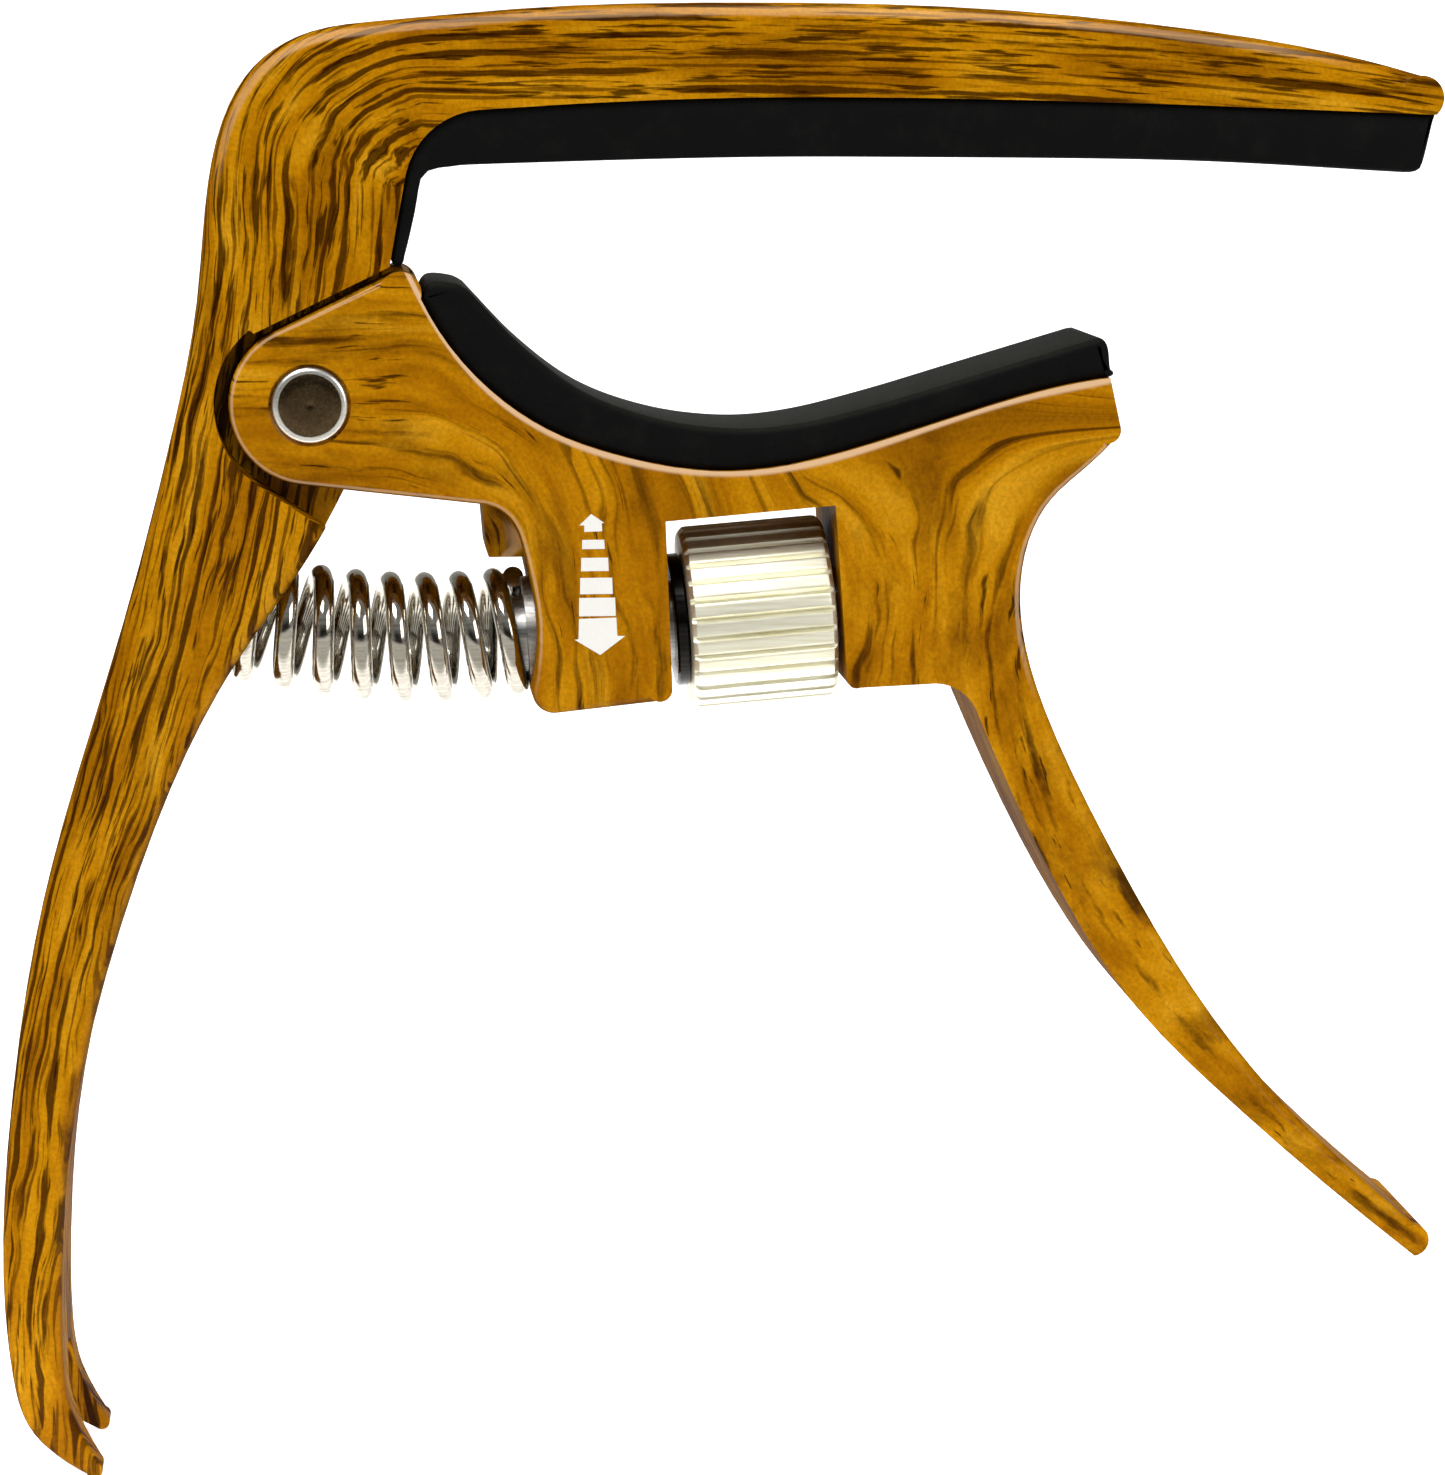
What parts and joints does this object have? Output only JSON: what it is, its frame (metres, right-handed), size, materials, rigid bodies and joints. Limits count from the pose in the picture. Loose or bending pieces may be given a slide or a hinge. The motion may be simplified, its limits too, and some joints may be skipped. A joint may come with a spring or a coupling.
{
  "type": "guitar capo",
  "caption": "Spring-loaded guitar capo: two levers on a cross pin, rubber-padded jaws, a coil spring between the grips and a thumbwheel that sets its tension.",
  "frame": {"origin": "deepest point of the neck pad's surface, where the back of the neck bears, at mid-width", "axes": "+Z from the neck pad up towards the fretboard pad, +X out of the open mouth of the jaws, Y across the width, along the guitar's neck"},
  "size_m": [0.0924, 0.0118, 0.0932],
  "materials": {
    "printed_coating": "gloss wood-grain transfer print under clear lacquer on cast zinc alloy",
    "rubber": "matt",
    "chrome": "plated, bright",
    "steel": "zinc plated",
    "nylon": "natural"
  },
  "bodies": {
    "lower_arm": {"lower_arm": "printed_coating", "neck_pad": "rubber", "pivot_pin": "chrome", "pivot_washer_front": "nylon", "pivot_washer_rear": "nylon", "thrust_collar": "chrome", "tension_spring": "chrome"},
    "upper_arm": {"upper_arm": "printed_coating", "fretboard_pad": "rubber"},
    "thumbwheel": {"thumbwheel": "chrome"},
    "tension_screw": {"tension_screw": "steel", "spring_seat": "steel"}
  },
  "joints": [
    {"name": "jaw_pivot", "type": "hinge", "parent": "lower_arm", "child": "upper_arm", "pos_m": [-0.0263, 0, 0.0017], "axis": [0, -1, 0], "range_deg": [0, 26], "stiffness_Nm_per_rad": 2.4, "springref_deg": -11.46, "deforming": ["tension_spring"]},
    {"name": "thumbwheel_turn", "type": "hinge", "parent": "lower_arm", "child": "thumbwheel", "pos_m": [0.00195, 0, -0.0123], "axis": [0.9969, 0, 0.0785], "range_deg": [0, 720]},
    {"name": "screw_travel", "type": "slide", "parent": "lower_arm", "child": "tension_screw", "axis": [-0.9969, 0, -0.0785], "range_m": [0, 0.002], "deforming": ["tension_spring"]}
  ],
  "couplings": [
    {"joint": "thumbwheel_turn", "follows": "screw_travel", "rad_per_m": 6283}
  ]
}
